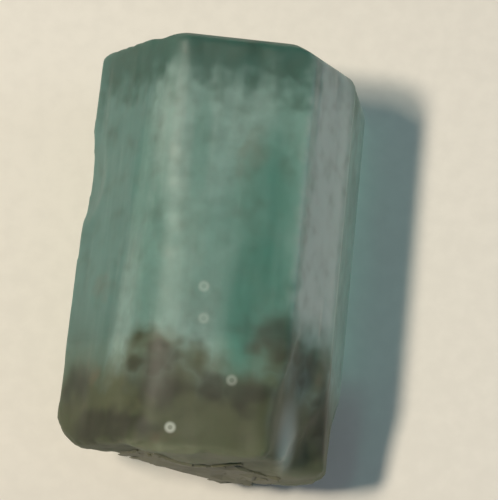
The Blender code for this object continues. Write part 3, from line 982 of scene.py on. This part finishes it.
def add_front_flakes(bm, fronts, chance, settings):
    """Flakes in the books' fronts, at the break."""
    for place in chance.choices(fronts, k=settings.front_flakes):
        tilt = Matrix.Rotation(chance.gauss(0.0, FRONT_TILT), 4, "X")
        tilt @= Matrix.Rotation(QUARTER_TURN + chance.gauss(0.0, FRONT_TILT), 4, "Z")
        turn = Matrix.Rotation(QUARTER_TURN, 4, "X") @ tilt
        radius = chance.uniform(settings.smallest, settings.largest)
        centre = place + Vector((0.0, FRONT_DEPTH, 0.0))
        add_flake(bm, centre, radius, settings.thickness, turn)


def mica_mesh(settings):
    """The cluster of books, with thin flakes in it and round it."""
    chance = random.Random(MICA_SEED)
    bm = merged_copy(MICA_NODE)
    bm.normal_update()
    bm.faces.ensure_lookup_table()
    roots = [(face.calc_center_median(), face.normal.copy()) for face in bm.faces]
    areas = [face.calc_area() for face in bm.faces]
    add_loose_flakes(bm, roots, areas, chance, settings)
    fronts = [place for place, normal in roots if normal.y < -FRONT_FACING]
    add_front_flakes(bm, fronts, chance, settings)
    return bm


def mica_material(settings):
    """Patches of dark and bronze, duller and greyer towards the break."""
    look = Look("mica")
    patches = look.grain(MICA_PATCHES)
    along = look.node("SeparateXYZ", {}, {0: look.place}, "Y")
    bronze = look.ease(patches, *MICA_PATCH_LEVELS)
    colour = look.mix(bronze, opaque(settings.dark), opaque(settings.bronze))
    weathered = look.ease(along + swing(patches, WEATHERED_RAGGED), *WEATHERED_END)
    weathered = weathered * WEATHERED_SHARE
    colour = look.mix(weathered, colour, opaque(settings.weathered))
    roughness = MICA_ROUGHNESS + ROUGHER_PATCHES * patches + ROUGHER_WEATHERED * weathered
    values = {"Base Color": colour, "Roughness": roughness, "IOR": MICA_IOR}
    return look.finish(look.principled(values))


class EMERALD_OT_mica(bpy.types.Operator):
    """Make the books and flakes of mica that the crystal grew round"""

    bl_idname = "emerald.mica"
    bl_label = "Mica flakes"

    def execute(self, context):
        settings = context.scene.emerald_mica
        piece = add_piece("mica_books", mica_mesh(settings), mica_material(settings))
        piece.data.shade_flat()
        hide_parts(MICA_NODE)
        return {"FINISHED"}


TUBE_LENGTHS = (0.8 * MM, 4.5 * MM)
TUBE_RADII = (0.010 * MM, 0.028 * MM)
TUBE_SIDES = 5
TUBE_TAPER = 0.6  # the smaller end's radius as a share of the larger end's
LEAST_COVER = 0.15 * MM  # of beryl over a tube or a droplet
DROPLET_RADII = (0.018 * MM, 0.055 * MM)
# A droplet's width and height as shares of its length.
DROPLET_WIDTHS = (0.5, 1.0)
DROPLET_HEIGHT = 0.35
VEIL_SEED = 11
VEIL_BEND = 25.0  # in 1/m
VEIL_THICKNESS = 0.07 * MM
VEIL_MILK = Pattern((2.0, 0.6, 2.0), 2.0)
VEIL_MILK_LEVELS = (0.35, 0.65)
VEIL_THIN = 0.7  # how light the thinner milk is
VEIL_ROUGHNESS = 0.4
VEIL_IOR = 1.33

# Healed fractures: each one's centre and radius in millimetres, and the way that it faces.
Veil = namedtuple("Veil", "centre radius facing")
VEILS = (
    Veil((-1.2, 3.4, 10.4), 1.7, (0.2, 0.5, 0.85)),
    Veil((1.6, 5.6, 9.6), 1.6, (-0.3, 0.8, 0.5)),
    Veil((-3.9, -0.6, 8.2), 1.8, (-0.7, 0.2, 0.7)),
    Veil((0.6, -1.6, 10.2), 1.3, (0.3, -0.4, 0.9)),
    Veil((4.2, 2.4, 7.0), 1.9, (0.8, 0.3, 0.5)),
    Veil((0.0, 0.0, 2.4), 2.6, (0.1, 0.4, -0.9)),
)


def add_tubes(bm, inside, chance, number):
    """Growth tubes, which run along the crystal."""
    lie_down = Matrix.Rotation(QUARTER_TURN, 4, "X")
    low, high = CAD_BOUNDS
    for _ in range(number):
        middle = Vector([chance.uniform(low[axis], high[axis]) for axis in range(3)])
        length = chance.uniform(*TUBE_LENGTHS)
        radius = chance.uniform(*TUBE_RADII)
        half = Vector((0.0, length / 2, 0.0))
        if all(inside.holds(end, LEAST_COVER) for end in (middle - half, middle, middle + half)):
            bmesh.ops.create_cone(
                bm,
                cap_ends=True,
                segments=TUBE_SIDES,
                radius1=radius,
                radius2=radius * TUBE_TAPER,
                depth=length,
                matrix=Matrix.Translation(middle) @ lie_down,
            )


def add_veil(bm, inside, chance, veil, droplets):
    """Flat droplets, strewn over a bent sheet."""
    facing = Vector(veil.facing).to_track_quat("Z", "Y").to_matrix().to_4x4()
    frame_of_veil = Matrix.Translation(Vector(veil.centre) * MM) @ facing
    for _ in range(droplets):
        away = veil.radius * MM * math.sqrt(chance.random())
        turn = chance.uniform(0, math.tau)
        height = VEIL_BEND * away**2 + chance.gauss(0.0, VEIL_THICKNESS)
        place = Vector((away * math.cos(turn), away * math.sin(turn), height))
        radius = chance.uniform(*DROPLET_RADII)
        if inside.holds(frame_of_veil @ place, radius + LEAST_COVER):
            squash = Matrix.Diagonal((1.0, chance.uniform(*DROPLET_WIDTHS), DROPLET_HEIGHT, 1.0))
            matrix = frame_of_veil @ Matrix.Translation(place) @ squash
            bmesh.ops.create_icosphere(bm, subdivisions=1, radius=radius, matrix=matrix)


def veil_mesh(settings):
    """The growth tubes, and the droplets of every healed fracture."""
    chance = random.Random(VEIL_SEED)
    inside = Inside()
    bm = bmesh.new()
    add_tubes(bm, inside, chance, settings.tubes)
    for veil in VEILS:
        add_veil(bm, inside, chance, veil, settings.droplets)
    return bm


def veil_material(settings):
    """Milk, thicker and thinner by turns."""
    look = Look("veil")
    milk = look.ease(look.grain(VEIL_MILK), *VEIL_MILK_LEVELS)
    colour = look.mix(milk, opaque(settings.pale), darker(settings.pale, VEIL_THIN))
    values = {"Base Color": colour, "Roughness": VEIL_ROUGHNESS, "IOR": VEIL_IOR}
    return look.finish(look.principled(values))


class EMERALD_OT_veils(bpy.types.Operator):
    """Add the growth tubes and healed fractures inside the crystal"""

    bl_idname = "emerald.veils"
    bl_label = "Tubes and veils"

    def execute(self, context):
        settings = context.scene.emerald_veils
        add_piece("growth_tubes", veil_mesh(settings), veil_material(settings))
        return {"FINISHED"}


# ------------------------------------------------------------------ stage

# The camera looks at this point, in millimetres, from these angles in degrees.
CAMERA_TARGET = Vector((1.427, 0.916, 5.8))
CAMERA_AZIMUTH = -11.54
CAMERA_ELEVATION = 78.30
CAMERA_ROLL = 17.38
CAMERA_LENS = 191.7  # millimetres, on a sensor 36 mm wide
CAMERA_NEAREST = 1 * MM
CAMERA_FARTHEST = 10.0

FLOOR_HALF = 0.6
# Each lamp: the way its light travels, and its share of the power.
Lamp = namedtuple("Lamp", "way share")
LAMPS = (
    Lamp((5.85, 1.45, -11.6), 0.68),
    Lamp((5.62, 0.35, -11.6), 0.32),
)
FILL_WAY = (-0.90, -0.10, -0.42)
FILL_WIDTH = 150 * MM
PAPER_FIBRES = Pattern((1.3, 1.3, 1.3), 5.0)
PAPER_BLOTCHES = Pattern((0.06, 0.06, 0.06), 2.0, 3.0)
FIBRE_SHADE = 0.6
BLOTCH_SHADE = 0.4
PAPER_SHADE_LEVELS = (0.35, 0.65)
PAPER_SHADED = 0.955  # how light the darker fibres are
PAPER_ROUGHNESS = 0.9
PAPER_IOR = 1.45
# The paper is painted darker beyond the break, as painted shade: from the first y to the second, in
# millimetres.
PAINTED_PAPER_SHADE_SPAN = (-8.0, -15.0)
PAPER_IN_PAINTED_SHADE = 0.82


def paper_material(settings):
    """Pale paper, faintly mottled, and painted darker beyond the break as shade."""
    look = Look("paper")
    shade = look.grain(PAPER_FIBRES) * FIBRE_SHADE + look.grain(PAPER_BLOTCHES) * BLOTCH_SHADE
    shade = look.ease(shade, *PAPER_SHADE_LEVELS)
    colour = look.mix(shade, opaque(settings.paper), darker(settings.paper, PAPER_SHADED))
    along = look.node("SeparateXYZ", {}, {0: look.place}, "Y")
    # Painted shade beyond the break
    paper_in_shade = darker(settings.paper, PAPER_IN_PAINTED_SHADE)
    colour = look.mix(look.ease(along, *PAINTED_PAPER_SHADE_SPAN), colour, paper_in_shade)
    values = {"Base Color": colour, "Roughness": PAPER_ROUGHNESS, "IOR": PAPER_IOR}
    return look.finish(look.principled(values))


def add_floor(settings):
    bm = bmesh.new()
    bmesh.ops.create_grid(bm, x_segments=1, y_segments=1, size=FLOOR_HALF)
    mesh = bpy.data.meshes.new("floor")
    bm.to_mesh(mesh)
    bm.free()
    mesh.materials.append(paper_material(settings))
    floor = bpy.data.objects.new("floor", mesh)
    bpy.context.scene.collection.objects.link(floor)


def add_lamp(name, way, width, distance, power, colour):
    """A round lamp whose light travels this way through the crystal's middle."""
    data = bpy.data.lights.new(name, "AREA")
    data.shape = "DISK"
    data.size = width
    data.energy = power
    data.color = colour
    obj = bpy.data.objects.new(name, data)
    way = Vector(way).normalized()
    obj.location = (CAD_BOUNDS[0] + CAD_BOUNDS[1]) / 2 - way * distance
    obj.rotation_euler = way.to_track_quat("-Z", "Y").to_euler()
    bpy.context.scene.collection.objects.link(obj)


def add_lamps(settings):
    distance = settings.lamp_distance
    for number, lamp in enumerate(LAMPS):
        power = settings.lamp_power * lamp.share
        add_lamp(f"lamp_{number}", lamp.way, settings.lamp_width, distance, power, settings.lamp)
    add_lamp("fill", FILL_WAY, FILL_WIDTH, distance, settings.fill_power, settings.fill)


def add_sky(settings):
    world = bpy.data.worlds.new("sky")
    world.use_nodes = True
    world.node_tree.nodes["Background"].inputs["Color"].default_value = opaque(settings.sky)
    bpy.context.scene.world = world


def add_camera(settings):
    data = bpy.data.cameras.new("camera")
    data.lens = CAMERA_LENS
    data.clip_start = CAMERA_NEAREST
    data.clip_end = CAMERA_FARTHEST
    camera = bpy.data.objects.new("camera", data)
    azimuth, elevation = math.radians(CAMERA_AZIMUTH), math.radians(CAMERA_ELEVATION)
    level = math.cos(elevation)
    back = Vector(
        (math.sin(azimuth) * level, -math.cos(azimuth) * level, math.sin(elevation))
    )
    turn = back.to_track_quat("Z", "Y").to_matrix().to_4x4()
    roll = Matrix.Rotation(math.radians(CAMERA_ROLL), 4, "Z")
    place = Matrix.Translation(CAMERA_TARGET * MM + back * settings.camera_distance)
    camera.matrix_world = place @ turn @ roll
    bpy.context.scene.collection.objects.link(camera)
    bpy.context.scene.camera = camera


class EMERALD_OT_stage(bpy.types.Operator):
    """Add the pale floor, the lamps and the camera"""

    bl_idname = "emerald.stage"
    bl_label = "Stage"

    def execute(self, context):
        settings = context.scene.emerald_stage
        add_floor(settings)
        add_lamps(settings)
        add_sky(settings)
        add_camera(settings)
        context.scene.view_settings.view_transform = "Standard"
        return {"FINISHED"}


OPERATORS = (EMERALD_OT_stage, EMERALD_OT_crystal, EMERALD_OT_mica, EMERALD_OT_veils)


class EMERALD_PT_panel(bpy.types.Panel):
    """The crystal's pieces, in the order in which they are made"""

    bl_idname = "EMERALD_PT_panel"
    bl_label = "Raw emerald crystal"
    bl_space_type = "VIEW_3D"
    bl_region_type = "UI"
    bl_category = "Emerald"

    def draw(self, context):
        for operator in OPERATORS:
            self.layout.operator(operator.bl_idname)


SETTINGS = {
    "emerald_surface": EmeraldSurface,
    "emerald_mica": EmeraldMica,
    "emerald_veils": EmeraldVeils,
    "emerald_stage": EmeraldStage,
}
CLASSES = (
    *SETTINGS.values(),
    *OPERATORS,
    EMERALD_PT_panel,
)


def register():
    for cls in CLASSES:
        bpy.utils.register_class(cls)
    for name, group in SETTINGS.items():
        setattr(bpy.types.Scene, name, PointerProperty(type=group))


def unregister():
    for name in SETTINGS:
        delattr(bpy.types.Scene, name)
    for cls in reversed(CLASSES):
        bpy.utils.unregister_class(cls)


def main():
    register()
    bpy.ops.emerald.stage()
    bpy.ops.emerald.crystal()
    bpy.ops.emerald.mica()
    bpy.ops.emerald.veils()


if __name__ == "__main__":
    main()
